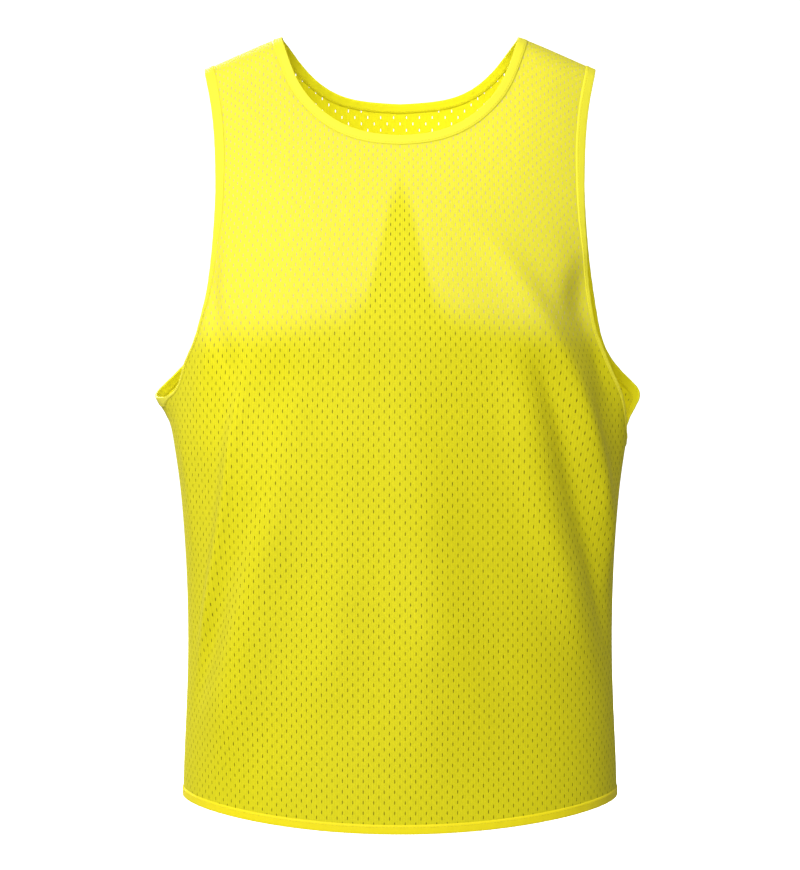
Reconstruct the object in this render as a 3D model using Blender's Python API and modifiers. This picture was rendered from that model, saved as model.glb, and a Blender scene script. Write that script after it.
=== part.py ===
"""Running singlet, worn form with no wearer inside. Metres, +Z up.

The wearer faces -Y, so the wearer's left is +X. The origin is where the shoulders carry the singlet:
on the centre plane, at the height of the middle of the shoulder seams.

Every piece is cut from one form. A place on a panel is its turn, in degrees round the body from the
panel's own centre line (the side seams are at 90), and its distance along the cloth down from the
shoulder seam. Sizes below are millimetres, and a drop is measured straight down from the high point of
the shoulder, as on a garment's size sheet.
"""

import bpy
import numpy as np

MM = 0.001

# Cut and trims
NECK_HALF_WIDTH = 104.5
TIP_HALF_WIDTH = 174.0
SHOULDER_FALL = 30.5
SHOULDER_SOFTNESS = 10.0
SHOULDER_FADE_DROP = 210.0
HOLD_DROP = 13.0
HEM_SIDE_DROP = 677.5
HEM_CURVE = 15.0
HEM_CURVE_POWER = 2.2
BINDING_WIDTH = 9.0
HEM_BAND_WIDTH = 8.0
PANEL_THICKNESS = 1.2
TRIM_THICKNESS = 2.2
SEAM_GAP = 0.45

# Form: how square the sections are, their mean depth, and the depth of each centre line at each drop
SECTION_SQUARENESS = 0.10
MEAN_DEPTH = 110.0
FRONT_CENTRE = (  # depth, drop
    (0, 0), (20, 3), (36, 13), (46, 34), (55, 66), (67, 100), (88, 150), (106, 200), (116.5, 240),
    (120.5, 268), (119.5, 300), (117, 345), (114.5, 420), (114, 500), (115, 580), (117, 650), (118.5, 720),
)
BACK_CENTRE = (  # depth, drop
    (0, 0), (20, 3), (39, 13), (53, 32), (63, 50), (79, 90), (93, 140), (102, 190), (107, 240),
    (108, 300), (106, 380), (104, 460), (105, 560), (109, 640), (112, 720),
)
HALF_WIDTHS = (  # drop, half width at the side seams
    (0, 206), (200, 206), (260, 205), (310, 204), (340, 203.5), (360, 202), (378, 199.5), (400, 196.6),
    (430, 193.8), (465, 191.5), (510, 190), (560, 190), (610, 191.8), (650, 193.6), (690, 194.6), (720, 195),
)

# Neck edge: turn across the neck from its centre, then the drop of the front and of the back edge
NECK_EDGE = (
    (0, 94.8, 53.0), (15, 91.8, 51.2), (30, 82.5, 46.3), (45, 65.4, 34.6), (60, 41.4, 18.0),
    (75, 13.2, 4.5), (90, 0.0, 0.0),
)

# Armhole edges, from the top of the side seam up to the shoulder tip, which follows them: turn, drop
ARMHOLE_EDGES = {
    ("front", "right"): (
        (90, 322), (82, 321), (75, 316), (70, 305), (67, 292), (62.3, 278), (57.9, 258), (55.3, 232),
        (53.4, 200), (51.4, 165), (51.3, 125), (52.3, 90), (55, 52),
    ),
    ("front", "left"): (
        (90, 357), (84, 355.5), (79.5, 347), (76.4, 333), (72.7, 315), (69.1, 300), (64.7, 281), (59.6, 258),
        (55.8, 230), (52.7, 198), (51.1, 165), (51.3, 125), (52.3, 90), (55, 52),
    ),
    ("back", "right"): (
        (90, 322), (84, 320.5), (79, 317), (75.5, 312.5), (71, 302), (67, 287), (62, 250), (58.5, 210),
        (56, 165), (54.8, 120), (55.4, 70),
    ),
    ("back", "left"): (
        (90, 357), (85.5, 353), (81, 341), (78.5, 329), (76.5, 318), (72, 306), (67.5, 290), (62, 250),
        (58.5, 210), (56, 165), (54.8, 120), (55.4, 70),
    ),
}

# The armholes gape: behind each side seam the cloth stands out in a soft wing
WING_HEIGHT = 22.0
WING_TURN_BEHIND_SEAM = 13.0
WING_TURN_SPREAD = 18.0
WING_DROP = 315.0
WING_SPREAD_ABOVE = 32.0
WING_SPREAD_BELOW = 18.0

# Folds: a soft ridge, or a trough where the height is below zero, from its top to its foot
FOLDS = {  # turn and drop of the top, turn and drop of the foot, half width, height, bow of the line
    "front": (
        (-33, 330, -52, 642, 26, 8.3, -2.5),
        (-40, 298, -69, 565, 14, 3.2, 2.5),
        (-31, 293, -68, 588, 15, -4.7, 6.7),
        (-27, 380, -39, 586, 24, 4.4, -3.7),
        (-11, 303, -20, 599, 26, 3.7, 1.3),
        (3, 490, 9, 650, 25, 4.5, -0.6),
        (6, 360, 20, 635, 30, 5.5, -1.9),
        (2, 302, 8, 580, 30, 5.0, -4.0),
        (35, 255, 88, 582, 16, -5.6, -8.3),
        (24, 194, 88, 514, 17, 10.0, -1.5),
        (29, 288, 58, 549, 20, 7.0, -4.1),
        (53, 205, 58, 298, 20, -7.0, -5.7),
        (54, 242, 78, 414, 17, -8.5, 5.1),
        (48, 179, 63, 394, 19, -5.4, 3.1),
        (-44, 204, -61, 333, 16, 2.2, 0.3),
        (-76, 335, -75, 464, 16, 4.0, 1.9),
    ),
    "back": (
        (-46, 240, -76, 560, 17, 4.5, 2.0),
        (-34, 250, -60, 600, 17, -5.0, 1.5),
        (-22, 265, -38, 640, 20, 5.5, -1.0),
        (-8, 330, -12, 650, 22, -2.5, 0.5),
        (4, 290, 9, 610, 26, 4.0, -1.5),
        (18, 275, 33, 640, 19, -4.5, -1.5),
        (31, 240, 58, 610, 18, 6.5, -2.0),
        (45, 235, 78, 520, 17, -5.5, -3.0),
        (58, 300, 80, 470, 16, 3.5, 0.0),
    ),
}
FOLD_FADE_DROP = 70.0
FOLD_SIDE_TURN = (66.0, 84.0)

# Faces of a panel: a block below the underarms, one across the chest, and one for each strap
UNDERARM_COLUMNS = 4
STRAP_COLUMNS = 10
SCOOP_COLUMNS = 26
SEAM_ROWS = 13
CHEST_ROWS = 12
STRAP_ROWS = 9
UNDERARM_SHARE_OF_ARMHOLE = 0.15
STRAP_SHARE_OF_ARMHOLE = 0.28
STRAP_SHARE_OF_NECK = {"front": 0.20, "back": 0.17}
ROW_CROWDING = 1.5
TRIM_COLUMNS = 1
EDGE_SAMPLES = 801
CENTRE_LINE_SAMPLES = 2001
JOIN_DISTANCE = 0.01

FINISHES = {  # colour, roughness
    "front_panel": ((0.82, 0.79, 0.02, 1.0), 0.75),
    "back_panel": ((0.82, 0.79, 0.02, 1.0), 0.75),
    "neck_binding": ((0.86, 0.74, 0.01, 1.0), 0.65),
    "armhole_binding_right": ((0.86, 0.74, 0.01, 1.0), 0.65),
    "armhole_binding_left": ((0.86, 0.74, 0.01, 1.0), 0.65),
    "hem_band": ((0.85, 0.76, 0.01, 1.0), 0.70),
}

SIDES = {"right": -1, "left": 1}
OUTWARD = {"front": -1, "back": 1}

# Steps of turn and along over which the form's slopes are taken
STEP_TURN = 0.05
STEP_ALONG = 0.05
ALONG_REPEATS = 40


def spline(at, knots, values):
    """A natural cubic spline through a short table, read at any places."""
    knots, values = np.asarray(knots, float), np.asarray(values, float)
    gap = np.diff(knots)
    slope = np.diff(values) / gap
    system = np.eye(len(knots))
    right = np.zeros(len(knots))
    for i in range(1, len(knots) - 1):
        system[i, i - 1 : i + 2] = gap[i - 1], 2 * (gap[i - 1] + gap[i]), gap[i]
        right[i] = 6 * (slope[i] - slope[i - 1])
    bend = np.linalg.solve(system, right)
    i = np.clip(np.searchsorted(knots, at) - 1, 0, len(knots) - 2)
    after, before = at - knots[i], knots[i + 1] - at
    cubic = (bend[i] * before**3 + bend[i + 1] * after**3) / (6 * gap[i])
    straight = (values[i] / gap[i] - bend[i] * gap[i] / 6) * before
    return cubic + straight + (values[i + 1] / gap[i] - bend[i + 1] * gap[i] / 6) * after


def path_through(points, shares):
    """Places on a smooth path through points, at shares of the way along its chords."""
    points = np.asarray(points, float)
    chord = np.r_[0, np.cumsum(np.linalg.norm(np.diff(points, axis=0), axis=1))]
    at = np.asarray(shares) * chord[-1]
    return np.stack([spline(at, chord, column) for column in points.T], axis=-1)


def crowded(steps):
    """Shares from 0 to 1 that lie closer together near 0."""
    return np.linspace(0, 1, steps + 1) ** ROW_CROWDING


def smooth_step(value, low, high):
    share = np.clip((value - low) / (high - low), 0, 1)
    return share * share * (3 - 2 * share)


def centre_line(table):
    """A panel's centre line as dense columns: distance along the cloth, depth and drop.

    The first point is repeated in the mirror, so that the cloth lies level on top of the shoulder.
    """
    points = np.array([(-table[1][0], table[1][1]), *table], float)
    dense = path_through(points, np.linspace(0, 1, CENTRE_LINE_SAMPLES))
    dense = dense[np.argmax(dense[:, 0] >= 0) :]
    along = np.r_[0, np.cumsum(np.linalg.norm(np.diff(dense, axis=0), axis=1))]
    return along, dense[:, 0], dense[:, 1]


CENTRE_LINES = {"front": centre_line(FRONT_CENTRE), "back": centre_line(BACK_CENTRE)}


def half_width_at(drop):
    return spline(drop, *np.array(HALF_WIDTHS, float).T)


def shoulder_fall_at(across):
    """How far the shoulder line lies below its high point, at a distance from the centre."""
    beyond = np.abs(across) - NECK_HALF_WIDTH
    softened = (beyond + np.sqrt(beyond**2 + SHOULDER_SOFTNESS**2)) / 2
    return softened * SHOULDER_FALL / (TIP_HALF_WIDTH - NECK_HALF_WIDTH)


def drop_along(panel, along):
    lengths, _, drops = CENTRE_LINES[panel]
    return np.interp(along, lengths, drops)


def along_for(panel, turn, drop):
    """The distance along the cloth at which a place of that turn has that drop, found by repetition."""
    lengths, _, drops = CENTRE_LINES[panel]
    along = np.interp(drop, drops, lengths)
    for _ in range(ALONG_REPEATS):
        level = drop_along(panel, along)
        across = half_width_at(level) * np.sin(np.radians(turn))
        fall = shoulder_fall_at(across) * (1 - smooth_step(level, 0, SHOULDER_FADE_DROP))
        along = np.interp(drop - fall, drops, lengths)
    return along


def wing_height(panel, turn, drop):
    """Height of the wing behind each side seam, the same from either panel at the seam itself."""
    behind_seam = OUTWARD[panel] * (90 - np.abs(turn))
    spread = np.where(drop < WING_DROP, WING_SPREAD_ABOVE, WING_SPREAD_BELOW)
    round_body = ((behind_seam - WING_TURN_BEHIND_SEAM) / WING_TURN_SPREAD) ** 2
    return WING_HEIGHT * np.exp(-round_body - ((drop - WING_DROP) / spread) ** 2)


def fold_height(panel, turn, drop, radius):
    """Sum of the folds: each is a bell across its bowed line, and fades in and out at its ends."""
    height = np.zeros_like(turn)
    for top_turn, top_drop, foot_turn, foot_drop, half_width, fold, bow in FOLDS[panel]:
        share = np.clip((drop - top_drop) / (foot_drop - top_drop), -0.5, 1.5)
        line = top_turn + (foot_turn - top_turn) * share + bow * 4 * share * (1 - share)
        away = np.radians(turn - line) * radius / half_width
        fade = min(FOLD_FADE_DROP, 0.45 * (foot_drop - top_drop))
        ends = smooth_step(drop, top_drop - fade / 2, top_drop + fade)
        ends *= 1 - smooth_step(drop, foot_drop - fade, foot_drop + fade / 2)
        height += fold * np.exp(-(away**2)) * ends
    return height * (1 - smooth_step(np.abs(turn), *FOLD_SIDE_TURN))


def form_point(panel, turn, along):
    """The smooth form without folds: sections that are nearly ellipses, hung from the shoulder line."""
    lengths, depths, drops = CENTRE_LINES[panel]
    level, depth = np.interp(along, lengths, drops), np.interp(along, lengths, depths)
    sine, cosine = np.sin(np.radians(turn)), np.cos(np.radians(turn))
    across = half_width_at(level) * sine
    fall = shoulder_fall_at(across) * (1 - smooth_step(level, 0, SHOULDER_FADE_DROP))
    out = OUTWARD[panel] * depth * cosine * (1 + SECTION_SQUARENESS * sine**2)
    return np.stack([across, out, HOLD_DROP - level - fall], axis=-1)


def form_slopes(panel, turn, along):
    """How a form point moves with turn and with the distance along the cloth."""
    by_turn = form_point(panel, turn + STEP_TURN, along) - form_point(panel, turn - STEP_TURN, along)
    by_along = form_point(panel, turn, along + STEP_ALONG) - form_point(panel, turn, along)
    return by_turn / (2 * STEP_TURN), by_along / STEP_ALONG


def unit(vectors):
    return vectors / np.linalg.norm(vectors, axis=-1, keepdims=True)


def cloth_point(panel, turn, along):
    """A point of the finished cloth: the form, lifted along its normal by the folds and the wing."""
    turn, along = np.asarray(turn, float), np.asarray(along, float)
    by_turn, by_along = form_slopes(panel, turn, along)
    normal = unit(OUTWARD[panel] * np.cross(by_turn, by_along))
    drop = drop_along(panel, along)
    radius = np.linalg.norm(by_turn, axis=-1) * 180 / np.pi
    lift = fold_height(panel, turn, drop, radius) + wing_height(panel, turn, drop)
    return form_point(panel, turn, along) + normal * lift[..., None]


def inset(panel, edge, width, hand, ends):
    """The edge moved in by a width on the cloth. Each end moves along the seam that it lies on.

    edge holds rows of turn and along; hand is 1 where the cloth lies to the left of the edge, seen from
    outside, else -1; ends says, for the first and the last place, which way its seam runs in from the
    edge, as steps of turn and along.
    """
    tangent = unit(np.gradient(form_point(panel, *edge.T), axis=0))
    by_turn, by_along = form_slopes(panel, *edge.T)
    into_cloth = hand * OUTWARD[panel] * np.cross(unit(np.cross(by_turn, by_along)), tangent)
    slopes = np.stack([by_turn, by_along], axis=-1)
    steps = np.einsum("nij,nj->ni", np.linalg.pinv(slopes), into_cloth)
    for place, way in zip((0, -1), ends):
        steps[place] = np.array(way) / np.linalg.norm(slopes[place] @ np.array(way))
    return edge + width * steps


def spaced(panel, places, shares):
    """Places on a densely drawn edge, at shares of its length on the form."""
    steps = np.linalg.norm(np.diff(form_point(panel, *places.T), axis=0), axis=1)
    length = np.r_[0, np.cumsum(steps)]
    return np.stack([np.interp(shares * length[-1], length, column) for column in places.T], axis=-1)


def turn_at_shoulder(across):
    return np.degrees(np.arcsin(across / half_width_at(0.0)))


def armhole_edge(panel, side):
    """Turn and along of an armhole edge, from the top of the side seam to the shoulder tip."""
    tip = (turn_at_shoulder(TIP_HALF_WIDTH), shoulder_fall_at(TIP_HALF_WIDTH))
    turn, drop = path_through([*ARMHOLE_EDGES[panel, side], tip], np.linspace(0, 1, EDGE_SAMPLES)).T
    along = along_for(panel, turn, drop)
    along[-1] = 0
    underarm = np.linspace(0, UNDERARM_SHARE_OF_ARMHOLE, UNDERARM_COLUMNS + 1)
    chest = np.linspace(UNDERARM_SHARE_OF_ARMHOLE, 1 - STRAP_SHARE_OF_ARMHOLE, CHEST_ROWS + 1)[1:]
    shares = np.r_[underarm, chest, 1 - STRAP_SHARE_OF_ARMHOLE * crowded(STRAP_ROWS)[-2::-1]]
    return spaced(panel, np.stack([SIDES[side] * turn, along], axis=-1), shares)


def neck_edge(panel):
    """Turn and along of a neck edge, from the wearer's right shoulder to the left."""
    swing = np.linspace(-90, 90, EDGE_SAMPLES)
    table = np.array(NECK_EDGE, float).T
    drop = spline(np.abs(swing), table[0], table[1 if panel == "front" else 2])
    across = NECK_HALF_WIDTH * np.sin(np.radians(swing))
    turn = turn_at_shoulder(across)
    along = along_for(panel, turn, drop + shoulder_fall_at(across))
    along[[0, -1]] = 0
    strap = STRAP_SHARE_OF_NECK[panel]
    scoop = np.linspace(strap, 1 - strap, SCOOP_COLUMNS + 1)
    shares = np.r_[strap * crowded(STRAP_ROWS)[:-1], scoop, 1 - strap * crowded(STRAP_ROWS)[-2::-1]]
    return spaced(panel, np.stack([turn, along], axis=-1), shares)


def hem_drop(turn):
    return HEM_SIDE_DROP + HEM_CURVE * np.cos(np.radians(turn)) ** HEM_CURVE_POWER


def hem_along(panel, turn):
    return along_for(panel, turn, hem_drop(turn))


def trimmed_armhole(panel, side, width):
    ends = ((0, 1), (-SIDES[side], 0))
    return inset(panel, armhole_edge(panel, side), width, -OUTWARD[panel] * SIDES[side], ends)


def trimmed_neck(panel, width):
    return inset(panel, neck_edge(panel), width, OUTWARD[panel], ((-1, 0), (1, 0)))


def between(start, end, steps):
    """Places on the straight line from one place to another."""
    return start + (end - start) * np.linspace(0, 1, steps + 1)[:, None]


def patch(foot, head, right, left):
    """A grid of places inside four edges: each is a blend of the places opposite it on the edges."""
    u = np.linspace(0, 1, len(foot))[None, :, None]
    v = np.linspace(0, 1, len(right))[:, None, None]
    across = (1 - u) * right[:, None] + u * left[:, None]
    up = (1 - v) * foot[None] + v * head[None]
    foot_line = (1 - u) * foot[0] + u * foot[-1]
    head_line = (1 - u) * head[0] + u * head[-1]
    return across + up - (1 - v) * foot_line - v * head_line


def panel_blocks(panel):
    """The grids of places of a panel between its trims: skirt, chest, right strap and left strap."""
    past_binding = BINDING_WIDTH + SEAM_GAP
    right, left = (trimmed_armhole(panel, side, past_binding) for side in SIDES)
    neck = trimmed_neck(panel, past_binding)
    corner, strap_foot = UNDERARM_COLUMNS, UNDERARM_COLUMNS + CHEST_ROWS
    right_neck, left_neck = neck[STRAP_ROWS::-1], neck[-STRAP_ROWS - 1 :]
    scoop = neck[STRAP_ROWS:-STRAP_ROWS]
    right_foot = between(right[strap_foot], right_neck[0], STRAP_COLUMNS)
    left_foot = between(left_neck[0], left[strap_foot], STRAP_COLUMNS)
    right_top = between(right[-1], right_neck[-1], STRAP_COLUMNS)
    left_top = between(left_neck[-1], left[-1], STRAP_COLUMNS)
    chest_top = np.concatenate([right_foot[:-1], scoop, left_foot[1:]])
    chest_foot = between(right[corner], left[corner], len(chest_top) - 1)
    skirt_top = np.concatenate([right[:corner], chest_foot, left[:corner][::-1]])
    turn = np.linspace(-90, 90, len(skirt_top))
    hem = np.stack([turn, hem_along(panel, turn) - HEM_BAND_WIDTH - SEAM_GAP], axis=-1)
    right_seam = between(hem[0], right[0], SEAM_ROWS)
    left_seam = between(hem[-1], left[0], SEAM_ROWS)
    blocks = [
        patch(hem, skirt_top, right_seam, left_seam),
        patch(chest_foot, chest_top, right[corner : strap_foot + 1], left[corner : strap_foot + 1]),
        patch(right_foot, right_top, right[strap_foot:], right_neck),
        patch(left_foot, left_top, left_neck, left[strap_foot:]),
    ]
    return [away_from_seams(block) for block in blocks]


def away_from_seams(grid):
    """Draws a panel's grid back by half the seam gap at its side seams and shoulder seams."""
    limit = 90 - np.degrees(SEAM_GAP / 2 / MEAN_DEPTH)
    turn = np.clip(grid[..., 0], -limit, limit)
    top = SEAM_GAP / 2 / np.cos(np.radians(turn))
    return np.stack([turn, np.maximum(grid[..., 1], top)], axis=-1)


def material(name):
    """The plain finish of the object of that name."""
    colour, roughness = FINISHES[name]
    made = bpy.data.materials.new(f"{name}_cloth")
    made.use_nodes = True
    shader = made.node_tree.nodes["Principled BSDF"]
    shader.inputs["Base Color"].default_value = colour
    shader.inputs["Roughness"].default_value = roughness
    shader.inputs["Metallic"].default_value = 0.0
    return made


def cloth_object(name, grids, outward, thickness, collection):
    """A cloth wall from grids of points in millimetres that share edges: an open surface with Solidify.

    outward is 1 where a grid's faces, run along its columns and then up its rows, point out, else -1.
    """
    points, faces, first = [], [], 0
    for grid in grids:
        rows, columns = grid.shape[:2]
        here = first + np.arange(rows * columns).reshape(rows, columns)
        ring = np.stack([here[:-1, :-1], here[:-1, 1:], here[1:, 1:], here[1:, :-1]], axis=-1)
        faces.extend(ring.reshape(-1, 4)[:, ::outward].tolist())
        points.extend((grid.reshape(-1, 3) * MM).tolist())
        first += rows * columns
    mesh = bpy.data.meshes.new(name)
    mesh.from_pydata(points, [], faces)
    mesh.shade_smooth()
    mesh.materials.append(material(name))
    made = bpy.data.objects.new(name, mesh)
    collection.objects.link(made)
    join = made.modifiers.new("Join", "WELD")
    join.merge_threshold = JOIN_DISTANCE * MM
    wall = made.modifiers.new("Wall", "SOLIDIFY")
    wall.thickness = thickness * MM
    wall.offset = 0


def panel(which, collection):
    grids = [cloth_point(which, grid[..., 0], grid[..., 1]) for grid in panel_blocks(which)]
    cloth_object(f"{which}_panel", grids, -OUTWARD[which], PANEL_THICKNESS, collection)


def ring_strip(width, places):
    """Grid of points of a trim that runs round both panels, from its edge to its width in from it.

    places gives, for a panel and a width, the turn and along of the points at that width.
    """
    columns = []
    for inset_width in np.linspace(0, width, TRIM_COLUMNS + 1):
        front = cloth_point("front", *places("front", inset_width).T)
        back = cloth_point("back", *places("back", inset_width)[::-1].T)
        columns.append(np.concatenate([front[:-1], back[:-1], front[:1]]))
    return np.stack(columns, axis=1)


def neck_binding(collection):
    points = ring_strip(BINDING_WIDTH, trimmed_neck)
    cloth_object("neck_binding", [points], -1, TRIM_THICKNESS, collection)


def armhole_binding(side, collection):
    points = ring_strip(BINDING_WIDTH, lambda panel, width: trimmed_armhole(panel, side, width))
    cloth_object(f"armhole_binding_{side}", [points], SIDES[side], TRIM_THICKNESS, collection)


def hem_band(collection):
    turn = np.linspace(-90, 90, 2 * (UNDERARM_COLUMNS + STRAP_COLUMNS) + SCOOP_COLUMNS + 1)
    points = ring_strip(
        HEM_BAND_WIDTH, lambda panel, width: np.stack([turn, hem_along(panel, turn) - width], axis=-1)
    )
    cloth_object("hem_band", [points], 1, TRIM_THICKNESS, collection)


def main():
    for old in list(bpy.data.objects):
        bpy.data.objects.remove(old)
    collection = bpy.data.collections.new("running_singlet")
    bpy.context.scene.collection.children.link(collection)
    panel("front", collection)
    panel("back", collection)
    neck_binding(collection)
    for side in SIDES:
        armhole_binding(side, collection)
    hem_band(collection)


main()
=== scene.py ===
"""Running singlet: the cloth, bindings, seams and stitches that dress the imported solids.

Sizes are millimetres until a mesh is made. The wearer faces -Y and the wearer's left is +X. A place on a
panel is its turn, in degrees round the body from the panel's centre line, and its distance along the cloth
down from the shoulder seam. A drop is measured straight down from the high point of the shoulder.
"""

import bpy
import numpy as np
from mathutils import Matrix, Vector

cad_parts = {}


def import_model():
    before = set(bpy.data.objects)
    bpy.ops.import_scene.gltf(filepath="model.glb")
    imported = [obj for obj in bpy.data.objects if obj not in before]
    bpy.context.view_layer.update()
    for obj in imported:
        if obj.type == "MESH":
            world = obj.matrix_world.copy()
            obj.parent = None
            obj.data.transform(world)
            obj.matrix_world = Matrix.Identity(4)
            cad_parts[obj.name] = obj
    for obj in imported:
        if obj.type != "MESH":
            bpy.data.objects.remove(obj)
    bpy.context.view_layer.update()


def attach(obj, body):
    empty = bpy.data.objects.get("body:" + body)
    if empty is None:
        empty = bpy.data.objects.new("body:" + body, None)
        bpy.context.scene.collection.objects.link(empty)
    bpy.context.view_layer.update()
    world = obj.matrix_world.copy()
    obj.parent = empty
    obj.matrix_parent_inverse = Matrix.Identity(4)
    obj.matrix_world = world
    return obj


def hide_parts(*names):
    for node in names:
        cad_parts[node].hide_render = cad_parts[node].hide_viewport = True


MM = 0.001

# Cut, the same as the solids' but for slightly wider trims, and cloth that spreads further below the wing
NECK_HALF_WIDTH = 104.5
TIP_HALF_WIDTH = 174.0
SHOULDER_FALL = 30.5
SHOULDER_SOFTNESS = 10.0
SHOULDER_FADE_DROP = 210.0
HOLD_DROP = 13.0
HEM_SIDE_DROP = 677.5
HEM_CURVE = 15.0
HEM_CURVE_POWER = 2.2
BINDING_WIDTH = 9.2
HEM_BAND_WIDTH = 8.3
SECTION_SQUARENESS = 0.10
FRONT_CENTRE = (  # depth, drop
    (0, 0), (20, 3), (36, 13), (46, 34), (55, 66), (67, 100), (88, 150), (106, 200), (116.5, 240),
    (120.5, 268), (119.5, 300), (117, 345), (114.5, 420), (114, 500), (115, 580), (117, 650), (118.5, 720),
)
BACK_CENTRE = (  # depth, drop
    (0, 0), (20, 3), (39, 13), (53, 32), (63, 50), (79, 90), (93, 140), (102, 190), (107, 240),
    (108, 300), (106, 380), (104, 460), (105, 560), (109, 640), (112, 720),
)
HALF_WIDTHS = (  # drop, half width at the side seams
    (0, 206), (200, 206), (260, 205), (310, 204), (340, 203.5), (360, 202), (378, 199.5), (400, 196.6),
    (430, 193.8), (465, 191.5), (510, 190), (560, 190), (610, 191.8), (650, 193.6), (690, 194.6), (720, 195),
)
NECK_EDGE = (  # turn across the neck, drop of the front edge, drop of the back edge
    (0, 94.8, 53.0), (15, 91.8, 51.2), (30, 82.5, 46.3), (45, 65.4, 34.6), (60, 41.4, 18.0),
    (75, 13.2, 4.5), (90, 0.0, 0.0),
)
ARMHOLE_EDGES = {  # turn, drop, from the top of the side seam up to the shoulder
    ("front", "right"): (
        (90, 322), (82, 321), (75, 316), (70, 305), (67, 292), (62.3, 278), (57.9, 258), (55.3, 232),
        (53.4, 200), (51.4, 165), (51.3, 125), (52.3, 90), (55, 52),
    ),
    ("front", "left"): (
        (90, 357), (84, 355.5), (79.5, 347), (76.4, 333), (72.7, 315), (69.1, 300), (64.7, 281), (59.6, 258),
        (55.8, 230), (52.7, 198), (51.1, 165), (51.3, 125), (52.3, 90), (55, 52),
    ),
    ("back", "right"): (
        (90, 322), (84, 320.5), (79, 317), (75.5, 312.5), (71, 302), (67, 287), (62, 250), (58.5, 210),
        (56, 165), (54.8, 120), (55.4, 70),
    ),
    ("back", "left"): (
        (90, 357), (85.5, 353), (81, 341), (78.5, 329), (76.5, 318), (72, 306), (67.5, 290), (62, 250),
        (58.5, 210), (56, 165), (54.8, 120), (55.4, 70),
    ),
}
WING_HEIGHT = 22.0
WING_TURN_BEHIND_SEAM = 13.0
WING_TURN_SPREAD = 18.0
WING_DROP = 315.0
WING_SPREAD_ABOVE = 32.0
WING_SPREAD_BELOW = 24.0

# Folds: turn and drop of the top, turn and drop of the foot, half width, height, sideways bow of the line
# in degrees. The first lines of each panel are its main folds, and the rest are small creases.
FOLDS = {
    "front": (
        (-33, 330, -52, 642, 26, 8.3, -2.5),
        (-40, 298, -69, 565, 8, 5.5, 2.5),
        (-31, 293, -68, 588, 15, -4.7, 6.7),
        (-27, 380, -39, 586, 24, 4.4, -3.7),
        (-11, 303, -20, 599, 26, 3.7, 1.3),
        (3, 490, 9, 650, 25, 4.5, -0.6),
        (6, 360, 20, 635, 30, 5.5, -1.9),
        (2, 302, 8, 580, 30, 5.0, -4.0),
        (35, 255, 88, 582, 16, -5.6, -8.3),
        (24, 194, 88, 514, 17, 10.0, -1.5),
        (29, 288, 58, 549, 20, 7.0, -4.1),
        (53, 205, 58, 298, 20, -7.0, -5.7),
        (54, 242, 78, 414, 17, -8.5, 5.1),
        (48, 179, 63, 394, 19, -5.4, 3.1),
        (-44, 204, -61, 333, 16, 2.2, 0.3),
        (-76, 335, -75, 464, 14, 4.6, 1.9),
        (-50, 150, -46, 300, 10, -4.2, -4.3),
        (74, 384, 76, 488, 9, 6.7, -1.9),
    ),
    "back": (
        (-46, 240, -76, 560, 17, 4.5, 2.0),
        (-34, 250, -60, 600, 17, -5.0, 1.5),
        (-22, 265, -38, 640, 20, 5.5, -1.0),
        (-8, 330, -12, 650, 22, -2.5, 0.5),
        (4, 290, 9, 610, 26, 4.0, -1.5),
        (18, 275, 33, 640, 19, -4.5, -1.5),
        (31, 240, 58, 610, 18, 6.5, -2.0),
        (45, 235, 78, 520, 17, -5.5, -3.0),
        (58, 300, 80, 470, 16, 3.5, 0.0),
    ),
}
FOLD_FADE_DROP = 70.0
FOLD_SIDE_TURN = (60.0, 80.0)

# Mesh knit: eyelets stand in staggered rows. Tables by drop: pitch of the columns, pitch of the rows, and
# width and height of an eyelet. The back's mesh is coarser near the neck, where the photograph shows it.
COLUMN_PITCH = {
    "front": ((0, 7.8), (110, 7.7), (150, 7.75), (190, 8.0), (235, 8.3), (280, 8.6), (340, 8.8), (720, 8.95)),
    "back": ((0, 11.9), (115, 11.9), (290, 9.4), (720, 9.2)),
}
ROW_PITCH = {
    "front": (
        (0, 8.1), (110, 8.0), (150, 8.4), (190, 9.0), (235, 9.3), (300, 9.45), (420, 9.4), (500, 9.2),
        (720, 9.0),
    ),
    "back": ((0, 12.0), (115, 12.0), (290, 9.6), (720, 9.2)),
}
EYELET_SIZE = {
    "front": ((0, 0.8, 3.3), (720, 0.8, 3.3)),
    "back": ((0, 0.85, 3.1), (115, 0.85, 3.1), (200, 0.8, 3.3), (720, 0.8, 3.3)),
}
# An eyelet's ring, across and down, in its widths and heights
EYELET = ((0, -0.5), (0.5, -0.16), (0.4, 0.5), (-0.4, 0.5), (-0.5, -0.16))
# The drop below which eyelets are pits, as no light shows through them there
BLIND_FROM = {"front": 0.0, "back": 125.0}
PIT_DEPTH = 0.35
PALE_PIT_DEPTH = 0.16
# The chest's zone of painted light, where the cloth and its eyelets are painted lighter: distance from the
# centre, and the drop at which it ends there
PAINTED_LIGHT_ZONE = ((0, 140), (8, 154), (20, 205), (28, 236), (45, 252), (85, 262), (127, 267), (180, 270))
PAINTED_LIGHT_FADE = 18.0
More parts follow.
